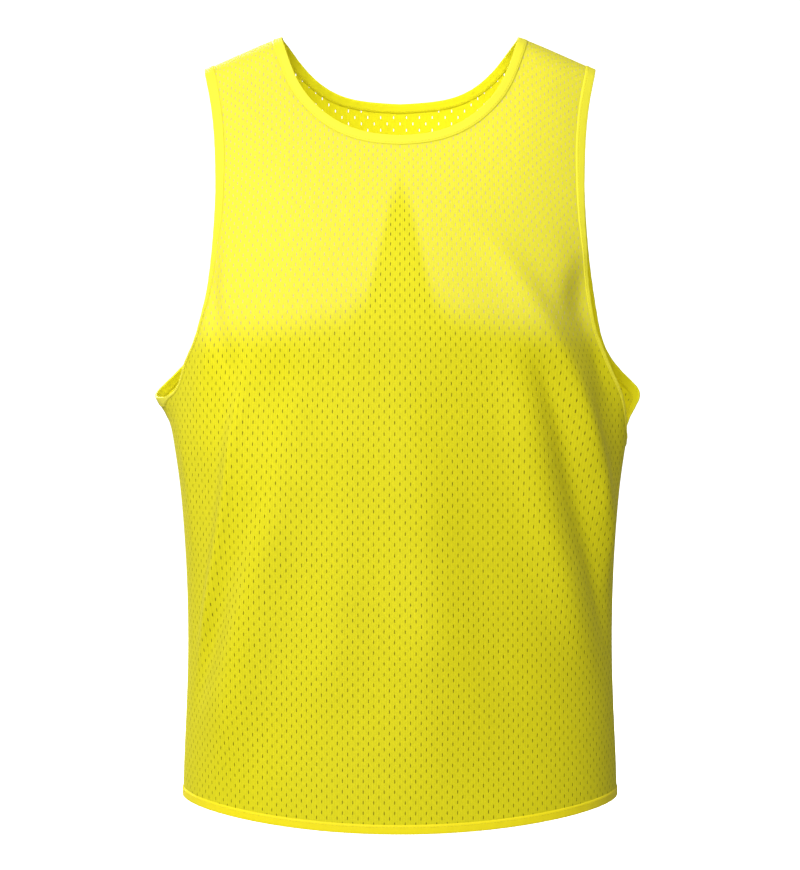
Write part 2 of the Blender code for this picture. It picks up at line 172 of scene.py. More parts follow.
# Marks of the zone map, which is 0 on the outer side. The inner side is painted paler, as painted light, and
# pits' walls and floors are painted dark, as painted shade
INNER_SIDE, PIT_FLOOR = 0.5, -1.0
FLOOR_MARK = -0.05  # a pit's wall and floor are marked below this
PANEL_THICKNESS = 0.7
PANEL_TUCK = 1.3
SEAM_DIP = 0.55
ON_SEAM = 0.6
SNAP = 1.0
CLEAR_OF_SEAM = 1.9
CLEAR_OF_EDGE = 6.4
LATTICE_COLUMNS, LATTICE_ROWS = np.arange(-76, 77), np.arange(-2, 170)
LATTICE_LEAD = 4.0  # distance of the rows above the shoulder seam, which only close the outline
LAY_ALONGS, LAY_TURNS, LAY_SHARES = np.arange(0, 760, 4.0), np.arange(0, 93, 1.0), np.linspace(0, 1, 181)
OUTLINE_STEP = 0.5
CLOSE_TO_OUTLINE = 12
BLOCK = 1500  # points worked on at a time, to spare memory

# Trims: cloth folded round the edge, and its topstitch
TRIM_CLOTH = 0.5
TRIM_GAP = 0.86
TRIM_STEP = 2.4
TRIM_RINGS = 6
TRIM_THINNING = 1.3
OUTER_LEG_DIP, INNER_LEG_DIP = 0.42, 0.05
RIPPLE_PITCHES = (13.7, 8.3)
STITCH_LENGTH = 2.1
STITCH_PITCH = 2.9
STITCH_RADIUS = 0.17
STITCH_FROM_SEAM = 2.2
STITCH_REACH = 0.4  # distance ahead and behind at which a stitch takes its line's direction
STITCH_OUT = 0.4  # share of its radius that a stitch's middle stands out of the cloth
SEAM_STRIP_WIDTH = 6.0
SEAM_STRIP_THICKNESS = 1.1
SEAM_STRIP_GAP = 0.1
SIDE_SEAM_ROWS, SHOULDER_SEAM_ROWS = 160, 40
OVERLOCK_PITCH = 3.2
OVERLOCK_DEPTH = 0.05

# On the front of each armhole the binding is partly turned in: drop, share of its width that shows
BINDING_SHOWN = ((0, 1.0), (110, 1.0), (165, 0.75), (210, 0.45), (250, 0.3), (720, 0.3))
BINDING_SHOWN_DEPTHS = (-25.0, -5.0)

SIDES = {"right": -1, "left": 1}
OUTWARD = {"front": -1, "back": 1}
STEP_TURN = 0.05
STEP_ALONG = 0.05
NORMAL_REACH = 0.3
EDGE_SAMPLES = 801
CENTRE_LINE_SAMPLES = 2001
ALONG_REPEATS = 40


# ---------------------------------------------------------------- the form, as the solids have it


def spline(at, knots, values):
    """A natural cubic spline through a short table, read at any places."""
    knots, values = np.asarray(knots, float), np.asarray(values, float)
    gap = np.diff(knots)
    slope = np.diff(values) / gap
    system = np.eye(len(knots))
    right = np.zeros(len(knots))
    for i in range(1, len(knots) - 1):
        system[i, i - 1 : i + 2] = gap[i - 1], 2 * (gap[i - 1] + gap[i]), gap[i]
        right[i] = 6 * (slope[i] - slope[i - 1])
    bend = np.linalg.solve(system, right)
    i = np.clip(np.searchsorted(knots, at) - 1, 0, len(knots) - 2)
    after, before = at - knots[i], knots[i + 1] - at
    cubic = (bend[i] * before**3 + bend[i + 1] * after**3) / (6 * gap[i])
    straight = (values[i] / gap[i] - bend[i] * gap[i] / 6) * before
    return cubic + straight + (values[i + 1] / gap[i] - bend[i + 1] * gap[i] / 6) * after


def lengths_along(points):
    """How far along a line of points each of them lies."""
    return np.r_[0, np.cumsum(np.linalg.norm(np.diff(points, axis=0), axis=1))]


def read_at(at, length, rows):
    """Rows of numbers that belong to lengths along a line, read at other lengths."""
    return np.stack([np.interp(at, length, column) for column in rows.T], axis=-1)


def table_at(at, table):
    """The second column of a short table, read between its rows by the first."""
    return np.interp(at, *np.array(table, float).T)


def grid_quads(rows, count, closed=False):
    """Quads between the rows of a grid of points whose rows are rings, and back to the first if closed."""
    number = np.arange(rows * count).reshape(rows, count)
    after = np.roll(number, -1, axis=0)
    quads = np.stack([number, np.roll(number, -1, axis=1), np.roll(after, -1, axis=1), after], axis=-1)
    return (quads if closed else quads[:-1]).reshape(-1, 4)


def grid_map(by_row, by_column):
    """Pairs of numbers for the points of a grid: the first goes by row and the second by column."""
    return np.stack(np.broadcast_arrays(by_row[:, None], by_column[None]), axis=-1).reshape(-1, 2)


def path_through(points, shares):
    """Places on a smooth path through points, at shares of the way along its chords."""
    points = np.asarray(points, float)
    chord = lengths_along(points)
    at = np.asarray(shares) * chord[-1]
    return np.stack([spline(at, chord, column) for column in points.T], axis=-1)


def smooth_step(value, low, high):
    """0 below low and 1 above high, and between them s x s x (3 - 2 s) of the share s of the way."""
    share = np.clip((value - low) / (high - low), 0, 1)
    return share * share * (3 - 2 * share)


def centre_line(table):
    """A panel's centre line as dense columns: distance along the cloth, depth and drop."""
    points = np.array([(-table[1][0], table[1][1]), *table], float)
    dense = path_through(points, np.linspace(0, 1, CENTRE_LINE_SAMPLES))
    dense = dense[np.argmax(dense[:, 0] >= 0) :]
    return lengths_along(dense), dense[:, 0], dense[:, 1]


CENTRE_LINES = {"front": centre_line(FRONT_CENTRE), "back": centre_line(BACK_CENTRE)}


def half_width_at(drop):
    """Half the width between the side seams at a drop: the spline through the table of half widths."""
    return spline(drop, *np.array(HALF_WIDTHS, float).T)


def shoulder_fall_at(across):
    """How far the shoulder line lies below its high point: a straight fall, softened where it starts."""
    beyond = np.abs(across) - NECK_HALF_WIDTH
    softened = (beyond + np.sqrt(beyond**2 + SHOULDER_SOFTNESS**2)) / 2
    return softened * SHOULDER_FALL / (TIP_HALF_WIDTH - NECK_HALF_WIDTH)


def drop_along(panel, along):
    """The drop of the panel's centre line at a distance along it."""
    lengths, _, drops = CENTRE_LINES[panel]
    return np.interp(along, lengths, drops)


def along_for(panel, turn, drop):
    """The distance along the cloth at which a place of that turn has that drop, found by repetition."""
    lengths, _, drops = CENTRE_LINES[panel]
    along = np.interp(drop, drops, lengths)
    for _ in range(ALONG_REPEATS):
        level = drop_along(panel, along)
        across = half_width_at(level) * np.sin(np.radians(turn))
        fall = shoulder_fall_at(across) * (1 - smooth_step(level, 0, SHOULDER_FADE_DROP))
        along = np.interp(drop - fall, drops, lengths)
    return along


def wing_height(panel, turn, drop):
    """The wing behind each side seam: one bell round the body times one bell down it."""
    behind_seam = OUTWARD[panel] * (90 - np.abs(turn))
    spread = np.where(drop < WING_DROP, WING_SPREAD_ABOVE, WING_SPREAD_BELOW)
    round_body = ((behind_seam - WING_TURN_BEHIND_SEAM) / WING_TURN_SPREAD) ** 2
    return WING_HEIGHT * np.exp(-round_body - ((drop - WING_DROP) / spread) ** 2)


def fold_height(panel, turn, drop, radius):
    """Sum of the folds: each is a bell across its bowed line, and fades in and out at its ends."""
    height = np.zeros_like(turn)
    for top_turn, top_drop, foot_turn, foot_drop, half_width, fold, bow in FOLDS[panel]:
        share = np.clip((drop - top_drop) / (foot_drop - top_drop), -0.5, 1.5)
        line = top_turn + (foot_turn - top_turn) * share + bow * 4 * share * (1 - share)
        away = np.radians(turn - line) * radius / half_width
        fade = min(FOLD_FADE_DROP, 0.45 * (foot_drop - top_drop))
        ends = smooth_step(drop, top_drop - fade / 2, top_drop + fade)
        ends *= 1 - smooth_step(drop, foot_drop - fade, foot_drop + fade / 2)
        height += fold * np.exp(-(away**2)) * ends
    return height * (1 - smooth_step(np.abs(turn), *FOLD_SIDE_TURN))


def form_point(panel, turn, along):
    """The smooth form: sections that are nearly ellipses, hung from the shoulder line."""
    lengths, depths, drops = CENTRE_LINES[panel]
    level, depth = np.interp(along, lengths, drops), np.interp(along, lengths, depths)
    sine, cosine = np.sin(np.radians(turn)), np.cos(np.radians(turn))
    across = half_width_at(level) * sine
    fall = shoulder_fall_at(across) * (1 - smooth_step(level, 0, SHOULDER_FADE_DROP))
    out = OUTWARD[panel] * depth * cosine * (1 + SECTION_SQUARENESS * sine**2)
    return np.stack([across, out, HOLD_DROP - level - fall], axis=-1)


def form_slopes(panel, turn, along):
    """How a form point moves with turn and with the distance along the cloth."""
    by_turn = form_point(panel, turn + STEP_TURN, along) - form_point(panel, turn - STEP_TURN, along)
    by_along = form_point(panel, turn, along + STEP_ALONG) - form_point(panel, turn, along)
    return by_turn / (2 * STEP_TURN), by_along / STEP_ALONG


def unit(vectors):
    """Vectors divided by their lengths."""
    return vectors / np.maximum(np.linalg.norm(vectors, axis=-1, keepdims=True), 1e-12)


def cloth_point(panel, turn, along):
    """A point of the finished cloth: the form, lifted along its normal by the folds and the wing."""
    turn, along = np.asarray(turn, float), np.asarray(along, float)
    by_turn, by_along = form_slopes(panel, turn, along)
    normal = unit(OUTWARD[panel] * np.cross(by_turn, by_along))
    drop = drop_along(panel, along)
    radius = np.linalg.norm(by_turn, axis=-1) * 180 / np.pi
    lift = fold_height(panel, turn, drop, radius) + wing_height(panel, turn, drop)
    return form_point(panel, turn, along) + normal * lift[..., None]


def cloth_normal(panel, turn, along):
    """The outward normal of the folded cloth, from the slopes of its own points."""
    by_turn = cloth_point(panel, turn + NORMAL_REACH, along) - cloth_point(panel, turn - NORMAL_REACH, along)
    above = cloth_point(panel, turn, np.maximum(along - NORMAL_REACH, 0))
    below = cloth_point(panel, turn, along + 2 * NORMAL_REACH)
    return unit(OUTWARD[panel] * np.cross(by_turn, below - above))


def inset(panel, edge, width, hand, ends):
    """The edge moved in by a width on the cloth. Each end moves along the seam that it lies on."""
    tangent = unit(np.gradient(form_point(panel, *edge.T), axis=0))
    by_turn, by_along = form_slopes(panel, *edge.T)
    into_cloth = hand * OUTWARD[panel] * np.cross(unit(np.cross(by_turn, by_along)), tangent)
    slopes = np.stack([by_turn, by_along], axis=-1)
    steps = np.einsum("nij,nj->ni", np.linalg.pinv(slopes), into_cloth)
    for place, way in zip((0, -1), ends):
        steps[place] = np.array(way) / np.linalg.norm(slopes[place] @ np.array(way))
    return edge + width * steps


def turn_at_shoulder(across):
    """Turn of a place on the shoulder line: the angle whose sine is its share of the half width."""
    return np.degrees(np.arcsin(across / half_width_at(0.0)))


def evenly(panel, places, step):
    """Places on a densely drawn edge, about one step apart on the form."""
    length = lengths_along(form_point(panel, *places.T))
    at = np.linspace(0, length[-1], int(round(length[-1] / step)) + 1)
    return read_at(at, length, places)


def armhole_edge(panel, side, step):
    """Turn and along of an armhole edge, from the top of the side seam to the shoulder tip."""
    tip = (turn_at_shoulder(TIP_HALF_WIDTH), shoulder_fall_at(TIP_HALF_WIDTH))
    turn, drop = path_through([*ARMHOLE_EDGES[panel, side], tip], np.linspace(0, 1, EDGE_SAMPLES)).T
    along = along_for(panel, turn, drop)
    along[-1] = 0
    return evenly(panel, np.stack([SIDES[side] * turn, along], axis=-1), step)


def neck_edge(panel, step):
    """Turn and along of a neck edge, from the wearer's right shoulder to the left."""
    swing = np.linspace(-90, 90, EDGE_SAMPLES)
    table = np.array(NECK_EDGE, float).T
    drop = spline(np.abs(swing), table[0], table[1 if panel == "front" else 2])
    across = NECK_HALF_WIDTH * np.sin(np.radians(swing))
    turn = turn_at_shoulder(across)
    along = along_for(panel, turn, drop + shoulder_fall_at(across))
    along[[0, -1]] = 0
    return evenly(panel, np.stack([turn, along], axis=-1), step)


def hem_edge(panel, step):
    """Turn and along of a hem: its drop is the sides' plus the curve times a power of the turn's cosine."""
    turn = np.linspace(-90, 90, EDGE_SAMPLES)
    drop = HEM_SIDE_DROP + HEM_CURVE * np.cos(np.radians(turn)) ** HEM_CURVE_POWER
    return evenly(panel, np.stack([turn, along_for(panel, turn, drop)], axis=-1), step)


def armhole_inset(panel, side, width, step):
    """An armhole edge moved in by a width: down the side seam, and in along the shoulder seam."""
    ends = ((0, 1), (-SIDES[side], 0))
    return inset(panel, armhole_edge(panel, side, step), width, -OUTWARD[panel] * SIDES[side], ends)


def neck_inset(panel, width, step):
    """A neck edge moved in by a width: outwards along both shoulder seams."""
    return inset(panel, neck_edge(panel, step), width, OUTWARD[panel], ((-1, 0), (1, 0)))


def hem_inset(panel, width, step):
    """A hem edge moved up along the cloth by a width."""
    return hem_edge(panel, step) - (0, width)


# ---------------------------------------------------------------- lay of the cloth on the form


class Lay:
    """The flat lay of a panel: girth is the distance round its section from the centre line.

    Columns of eyelets run down at equal girths and rows run round at equal distances along, so the
    knit has one pitch everywhere but where the tables change it.
    """

    def __init__(self, panel):
        self.panel = panel
        self.alongs, self.turns = LAY_ALONGS, LAY_TURNS
        along, turn = np.meshgrid(self.alongs, self.turns, indexing="ij")
        points = form_point(panel, turn, along)
        steps = np.linalg.norm(np.diff(points, axis=1), axis=-1)
        self.girths = np.concatenate([np.zeros((len(along), 1)), np.cumsum(steps, axis=1)], axis=1)
        self.shares = LAY_SHARES
        self.full = self.girths[:, -1]
        self.turns_at = np.stack(
            [np.interp(self.shares, girth / girth[-1], self.turns) for girth in self.girths]
        )
        drop = drop_along(panel, self.alongs)
        self.column_pitch = table_at(drop, COLUMN_PITCH[panel])
        rows_per_mm = 2 / table_at(drop, ROW_PITCH[panel])
        self.rows = np.r_[0, np.cumsum((rows_per_mm[1:] + rows_per_mm[:-1]) / 2 * np.diff(self.alongs))]

    def _blend(self, table, row, column):
        """Value of a table at part rows and columns: its four neighbours weighed by their shares."""
        row, column = np.clip(row, 0, len(table) - 1.001), np.clip(column, 0, table.shape[1] - 1.001)
        i, j = row.astype(int), column.astype(int)
        a, b = row - i, column - j
        top = table[i, j] * (1 - b) + table[i, j + 1] * b
        foot = table[i + 1, j] * (1 - b) + table[i + 1, j + 1] * b
        return top * (1 - a) + foot * a

    def girth(self, turn, along):
        """Girth of places, from the table of summed steps round each section."""
        row = along / (self.alongs[1] - self.alongs[0])
        return np.sign(turn) * self._blend(self.girths, row, np.abs(turn))

    def turn(self, girth, along):
        """Turn of places with a known girth: the same table read the other way."""
        row = along / (self.alongs[1] - self.alongs[0])
        share = np.abs(girth) / np.interp(along, self.alongs, self.full)
        return np.sign(girth) * self._blend(self.turns_at, row, share * (len(self.shares) - 1))

    def flat(self, column, row):
        """Girth and along of a lattice place: half a pitch to each column and row."""
        along = np.interp(row, self.rows, self.alongs)
        return column * np.interp(along, self.alongs, self.column_pitch) / 2, along


def nearest(points, line, keep_points=False):
    """Distance from each point to the nearest place of a dense line, worked out in blocks."""
    far, where = np.empty(len(points)), np.empty(len(points), int)
    for first in range(0, len(points), BLOCK):
        block = points[first : first + BLOCK]
        square = ((block[:, None] - line[None]) ** 2).sum(-1)
        where[first : first + BLOCK] = square.argmin(1)
        far[first : first + BLOCK] = np.sqrt(square.min(1))
    return (far, where) if keep_points else far


def inside(points, outline):
    """Whether points lie inside a closed outline: a ray crosses it an odd number of times."""
    crossings = np.zeros(len(points), int)
    start, end = outline, np.roll(outline, -1, axis=0)
    for first in range(0, len(points), BLOCK):
        x, y = points[first : first + BLOCK].T[:, :, None]
        between = (start[:, 1] > y) != (end[:, 1] > y)
        rise = np.where(end[:, 1] == start[:, 1], 1, end[:, 1] - start[:, 1])
        at = start[:, 0] + (y - start[:, 1]) / rise * (end[:, 0] - start[:, 0])
        crossings[first : first + BLOCK] = (between & (x < at)).sum(1)
    return crossings % 2 == 1


def outline_lines(panel, lay):
    """The panel's flat outline in four kinds of line, in order round it, each dense and half a mm apart."""

    def flat(places):
        return np.stack([lay.girth(*places.T), places[:, 1]], axis=-1)

    step = OUTLINE_STEP
    hem = hem_inset(panel, PANEL_TUCK, step)
    right, left = (armhole_inset(panel, side, PANEL_TUCK, step) for side in SIDES)
    neck = neck_inset(panel, PANEL_TUCK, step)

    def straight(start, end):
        count = int(np.abs(end - start).max() / 0.1) + 2
        return evenly(panel, start + (end - start) * np.linspace(0, 1, count)[:, None], step)

    lines = [
        ("trim", hem),
        ("seam", straight(hem[-1], left[0])),
        ("trim", left),
        ("seam", straight(left[-1], neck[-1])),
        ("trim", neck[::-1]),
        ("seam", straight(neck[0], right[-1])),
        ("trim", right[::-1]),
        ("seam", straight(right[0], hem[0])),
    ]
    return [(kind, flat(np.column_stack([line[:, 0], np.maximum(line[:, 1], 0)]))) for kind, line in lines]


def eyelet_knit(panel):
    """The perforated panel as flat places: vertices, and the faces of its outer and inner layers.

    Lattice places with an odd sum of column and row are cloth, and those with an even sum are eyelets.
    Each eyelet has one diamond cell between its four cloth places. Cells with a cloth place inside the
    outline are kept, and their places outside it are moved to its nearest point. An eyelet's five-sided
    ring is cut in both layers, or only in the outer one where it is a pit.
    """
    lay = Lay(panel)
    lines = outline_lines(panel, lay)
    outline = np.concatenate([line for _, line in lines])
    trims = np.concatenate([line for kind, line in lines if kind == "trim"])
    seams = np.concatenate([line for kind, line in lines if kind == "seam"])
    column, row = np.meshgrid(LATTICE_COLUMNS, LATTICE_ROWS, indexing="xy")
    shape = column.shape
    flat = np.stack(lay.flat(column.ravel().astype(float), row.ravel().astype(float)), axis=-1)
    flat[:, 1] += np.where(row.ravel() < 0, row.ravel() * LATTICE_LEAD, 0)
    within = inside(flat, outline[::4])
    off = nearest(flat, outline[::6])
    close = off < CLOSE_TO_OUTLINE
    exact, where = nearest(flat[close], outline, keep_points=True)
    off[close] = exact
    nearest_place = np.zeros(len(flat), int)
    nearest_place[close] = where
    firmly = (within & (off > SNAP)).reshape(shape)
    from_trim = nearest(flat, trims[::4])
    from_seam = nearest(flat, seams[::4])

    cloth = (column + row) % 2 != 0
    centre = ~cloth
    centre[[0, -1], :] = False
    centre[:, [0, -1]] = False
    i, j = np.nonzero(centre)
    middle, across = i * shape[1] + j, shape[1]
    corners = np.stack([middle - across, middle + 1, middle + across, middle - 1], axis=-1)
    held = firmly.ravel()[corners]
    kept = held.any(1)
    middle, corners, held = middle[kept], corners[kept], held[kept]
    clear = (from_trim[middle] > CLEAR_OF_EDGE) & (from_seam[middle] > CLEAR_OF_SEAM)
    open_cell = held.all(1) & within[middle] & clear

    used = np.unique(corners)
    number = np.full(len(flat), -1)
    number[used] = np.arange(len(used))
    moved = ~firmly.ravel()[used] & (nearest_place[used] > 0)
    places = flat[used].copy()
    places[moved] = outline[nearest_place[used][moved]]
    lattice_places = np.stack([column.ravel(), row.ravel()], axis=-1).astype(float)
    lattice = lattice_places[used]
    corners = number[corners]

    open_corners, open_middle = corners[open_cell], middle[open_cell]
    centre_flat = flat[open_middle]
    drop = drop_along(panel, centre_flat[:, 1])
    sizes = np.array(EYELET_SIZE[panel], float).T
    size = np.stack([np.interp(drop, sizes[0], column) for column in sizes[1:]], axis=-1)
    eyelet = np.array(EYELET)[None] * size[:, None]
    ring = centre_flat[:, None] + eyelet
    pitch = np.interp(centre_flat[:, 1], lay.alongs, lay.column_pitch) / 2
    row_pitch = 1 / np.interp(centre_flat[:, 1], lay.alongs, np.gradient(lay.rows, lay.alongs))
    pitches = np.stack([pitch, row_pitch], axis=-1)
    ring_lattice = lattice_places[open_middle][:, None] + eyelet / pitches[:, None]
    first = len(places)
    places = np.concatenate([places, ring.reshape(-1, 2)])
    lattice = np.concatenate([lattice, ring_lattice.reshape(-1, 2)])
    hole = first + np.arange(5 * len(open_corners)).reshape(-1, 5)
    blind = drop > BLIND_FROM[panel]

    def ringed(corners, hole):
        """Cloth between a cell's corners and its eyelet's ring."""
        top, right, foot, left = corners.T
        peak, side_r, low_r, low_l, side_l = hole.T
        quads = np.concatenate([
            np.stack([top, peak, side_l, left], axis=-1),
            np.stack([top, right, side_r, peak], axis=-1),
            np.stack([right, foot, low_r, side_r], axis=-1),
            np.stack([foot, left, side_l, low_l], axis=-1),
        ])
        return quads, np.stack([foot, low_l, low_r], axis=-1)

    outer = ringed(open_corners, hole)
    inner = ringed(open_corners[~blind], hole[~blind])
    outer = np.concatenate([corners[~open_cell], outer[0]]), outer[1]
    inner = np.concatenate([corners[~open_cell], open_corners[blind], inner[0]]), inner[1]
    on_seam = np.zeros(len(places), bool)
    on_seam[: len(used)][moved] = nearest(places[: len(used)][moved], seams) < ON_SEAM
    return lay, places, lattice, outer, inner, hole[blind], on_seam


# ---------------------------------------------------------------- meshes


NO_TRIANGLES = np.zeros((0, 3), int)


def mesh_object(name, points, quads, triangles, maps, flat_faces=None, normals=None):
    """A mesh from whole arrays in millimetres. maps holds one pair of numbers per vertex for each UV map.
    normals holds the true surface's normal per vertex, and all faces but the flat ones are shaded by it."""
    mesh = bpy.data.meshes.new(name)
    loops = np.concatenate([quads.ravel(), triangles.ravel()]).astype(np.int32)
    sizes = np.r_[np.full(len(quads), 4), np.full(len(triangles), 3)]
    mesh.vertices.add(len(points))
    mesh.vertices.foreach_set("co", (points * MM).astype(np.float32).ravel())
    mesh.loops.add(len(loops))
    mesh.loops.foreach_set("vertex_index", loops)
    mesh.polygons.add(len(sizes))
    mesh.polygons.foreach_set("loop_start", np.r_[0, np.cumsum(sizes)[:-1]].astype(np.int32))
    mesh.update(calc_edges=True)
    mesh.validate()
    if len(mesh.loops) == len(loops):
        for label, values in maps.items():
            layer = mesh.uv_layers.new(name=label)
            layer.data.foreach_set("uv", values[loops].astype(np.float32).ravel())
    smooth = np.ones(len(mesh.polygons), bool)
    if flat_faces is not None and len(flat_faces) == len(smooth):
        smooth = ~flat_faces
    mesh.polygons.foreach_set("use_smooth", smooth)
    if normals is not None and len(mesh.loops) == len(loops):
        by_corner = np.where(np.repeat(smooth, sizes)[:, None], normals[loops], 0.0)
        mesh.normals_split_custom_set(by_corner.tolist())
    made = bpy.data.objects.new(name, mesh)
    bpy.context.scene.collection.objects.link(made)
    return made


def open_edges(quads, triangles, count):
    """Directed edges of faces whose opposite belongs to no face."""
    edges = np.concatenate(
        [np.stack([faces, np.roll(faces, -1, axis=1)], axis=-1).reshape(-1, 2) for faces in (quads, triangles)]
    )
    edges = edges[edges[:, 0] != edges[:, 1]]
    code, opposite = edges[:, 0] * count + edges[:, 1], edges[:, 1] * count + edges[:, 0]
    return edges[~np.isin(code, opposite)]


def painted_light_share(panel, points):
    """How far a point lies in the front's zone of painted light, where cloth and eyelets are painted lighter:
    1 above the zone's edge and 0 below it.
    """
    edge = table_at(np.abs(points[:, 0]), PAINTED_LIGHT_ZONE)
    return (panel == "front") * (1 - smooth_step(HOLD_DROP - points[:, 2], edge - PAINTED_LIGHT_FADE, edge + PAINTED_LIGHT_FADE))


def panel_cloth(panel):
    """The perforated panel as a thin shell: the flat knit laid on the folded form, once out and once in by
    half the cloth's thickness along the normal, and closed round each open eyelet and edge. A pit's ring is
    drawn again nearer the inside and closed by a floor of one quad and one triangle. The seams' edges dip.
    """
    lay, places, lattice, outer, inner, pits, on_seam = eyelet_knit(panel)
    turn, along = lay.turn(*places.T), places[:, 1]
    middle = cloth_point(panel, turn, along)
    normal = cloth_normal(panel, turn, along)
    middle = middle - normal * (SEAM_DIP * on_seam)[:, None]
    outer, inner = [[faces[:, :: OUTWARD[panel]] for faces in layer] for layer in (outer, inner)]
    count = len(middle)
    painted_light = painted_light_share(panel, middle)
    depth = PIT_DEPTH + (PALE_PIT_DEPTH - PIT_DEPTH) * painted_light[pits]
    floor = middle[pits] + normal[pits] * (PANEL_THICKNESS / 2 - depth)[..., None]
    points = np.concatenate(
        [middle + normal * PANEL_THICKNESS / 2, middle - normal * PANEL_THICKNESS / 2, floor.reshape(-1, 3)]
    )
    deep = 2 * count + np.arange(pits.size).reshape(-1, 5)
    floor_quads, floor_triangles = deep[:, [0, 1, 2, 4]], deep[:, [2, 3, 4]]
    if panel == "front":
        floor_quads, floor_triangles = floor_quads[:, ::-1], floor_triangles[:, ::-1]
    edges = open_edges(*outer, count)
    pit_deep = np.full(count, -1)
    pit_deep[pits.ravel()] = deep.ravel()
    in_pit = (pit_deep[edges] >= 0).all(1)
    below = np.where(in_pit[:, None], pit_deep[edges], edges + count)
    rims = np.stack([edges[:, 1], edges[:, 0], below[:, 0], below[:, 1]], axis=-1)
    all_quads = np.concatenate([outer[0], inner[0][:, ::-1] + count, rims, floor_quads])
    all_triangles = np.concatenate([outer[1], inner[1][:, ::-1] + count, floor_triangles])
    flat_faces = np.zeros(len(all_quads) + len(all_triangles), bool)
    flat_faces[len(outer[0]) + len(inner[0]) : len(all_quads)] = True
    flat_faces[len(all_quads) + len(outer[1]) + len(inner[1]) :] = True
    zone = np.stack([painted_light, np.zeros(count)], axis=-1)
    maps = {}
    for label, values in (("lay", places * MM), ("lattice", lattice / 2), ("zone", zone)):
        maps[label] = np.concatenate([values, values, values[pits.ravel()]])
    # The inner layer is marked for its painted light, and the pits' floors for their painted shade
    maps["zone"][count : 2 * count, 1] = INNER_SIDE
    maps["zone"][2 * count :, 1] = PIT_FLOOR
    normals = np.concatenate([normal, -normal, normal[pits.ravel()]])
    return mesh_object(f"{panel}_panel_knit", points, all_quads, all_triangles, maps, flat_faces, normals)


def ring(places, width, step):
    """Turn and along of a ring round both panels at one width in from its edge, with its points and normals."""
    front, back = places("front", width, step), places("back", width, step)[::-1]
    points = np.concatenate([cloth_point("front", *front.T)[:-1], cloth_point("back", *back.T)[:-1]])
    normals = np.concatenate([cloth_normal("front", *front.T)[:-1], cloth_normal("back", *back.T)[:-1]])
    return points, normals


def fold_profile(width):
    """Closed outline of cloth folded round an edge: across from the edge and out along the normal.

    Two legs lie a gap apart and join in a half circle round the edge; each leg thins down to the panel.
    """
    reach, half = TRIM_GAP / 2 + TRIM_CLOTH / 2, TRIM_CLOTH / 2
    legs = np.array([width, width - TRIM_THINNING, width * 0.6, width * 0.3, reach])
    swing = np.radians(np.linspace(90, 270, 9))[1:-1]

    def leg_and_turn(radius, cut):
        out = np.column_stack([legs, np.full(len(legs), radius)])
        out[0, 1] += cut
        turn = np.column_stack([reach + radius * np.cos(swing), radius * np.sin(swing)])
        back = out[::-1] * (1, -1)
        return np.concatenate([out, turn, back])

    outer, inner = leg_and_turn(reach + half, -OUTER_LEG_DIP), leg_and_turn(reach - half, -INNER_LEG_DIP)
    return np.concatenate([outer, inner[::-1]])


class Strip:
    """A trim's strip on the folded form, read between rings at even widths in from the edge."""

    def __init__(self, places, width, step, narrowed):
        self.widths = np.linspace(0, width, TRIM_RINGS)
        rings = [ring(places, ring_width, step) for ring_width in self.widths]
        self.points, self.normals = (np.stack(part, axis=1) for part in zip(*rings))
        self.base = self.points[:, 0]
        drop = HOLD_DROP - self.base[:, 2]
        front = 1 - smooth_step(self.base[:, 1], *BINDING_SHOWN_DEPTHS)
        self.shown = 1 + (table_at(drop, BINDING_SHOWN) - 1) * front * narrowed

    def at(self, across):
        """Points and normals at a distance in from the edge, times the share of the width that shows."""
        place = np.clip(across * self.shown / self.widths[1], 0, len(self.widths) - 1.001)
        first, share = place.astype(int), (place % 1)[:, None]
        row = np.arange(len(place))
        parts = self.points, self.normals
        return [part[row, first] * (1 - share) + part[row, first + 1] * share for part in parts]


def folded_strip(name, places, width, clockwise, ripple):
    """A trim: its fold profile carried round the ring, with a slight ripple along it.

    A point is the strip's point at the profile's distance across, plus its normal times the profile's
    height. The ripple lifts both legs together by a sum of two sines of the length round the ring.
    """
    profile = fold_profile(width)
    strip = Strip(places, width, TRIM_STEP, name.startswith("armhole"))
    base = strip.base
    length = lengths_along(base)
    total = length[-1] + np.linalg.norm(base[0] - base[-1])
    waves = [2 * np.pi * round(total / pitch) * length / total for pitch in RIPPLE_PITCHES]
    lift = ripple * (np.sin(waves[0]) + 0.6 * np.sin(waves[1] + 1.0))
    columns = []
    for across, out in profile:
        points, normals = strip.at(across)
        share = np.clip(1 - across / width, 0, 1)
        columns.append(points + normals * (out + lift * share)[:, None])
    grid = np.stack(columns, axis=1)
    quads = grid_quads(*grid.shape[:2], closed=True)
    if clockwise:
        quads = quads[:, ::-1]
    lay = grid_map(length, lengths_along(profile)) * MM
    # The inner leg is marked for the painted light of the inner side
    zone = grid_map(0.0 * length, np.where(profile[:, 1] < 0, INNER_SIDE, 0.0))
    made = mesh_object(name, grid.reshape(-1, 3), quads, NO_TRIANGLES, {"lay": lay, "zone": zone})
    return made, total


def stitch_shape():
    """One stitch: a six-sided spindle along x with four rings, in stitch lengths and radii."""
    turn = np.radians(np.arange(0, 360, 60))
    rings = [(-0.5, 0.45, -0.9), (-0.3, 1.0, 0.15), (0.3, 1.0, 0.15), (0.5, 0.45, -0.9)]
    points = np.array(
        [(x, radius * np.cos(a), radius * np.sin(a) + rise) for x, radius, rise in rings for a in turn]
    )
    k = np.arange(6)
    after = (k + 1) % 6
    sides = [np.stack([6 * r + k, 6 * r + after, 6 * r + 6 + after, 6 * r + 6 + k], axis=-1) for r in range(3)]
    ends = [np.array([[0, 3, 2, 1], [0, 5, 4, 3], [18, 19, 20, 21], [18, 21, 22, 23]])]
    return points, np.concatenate(sides + ends)


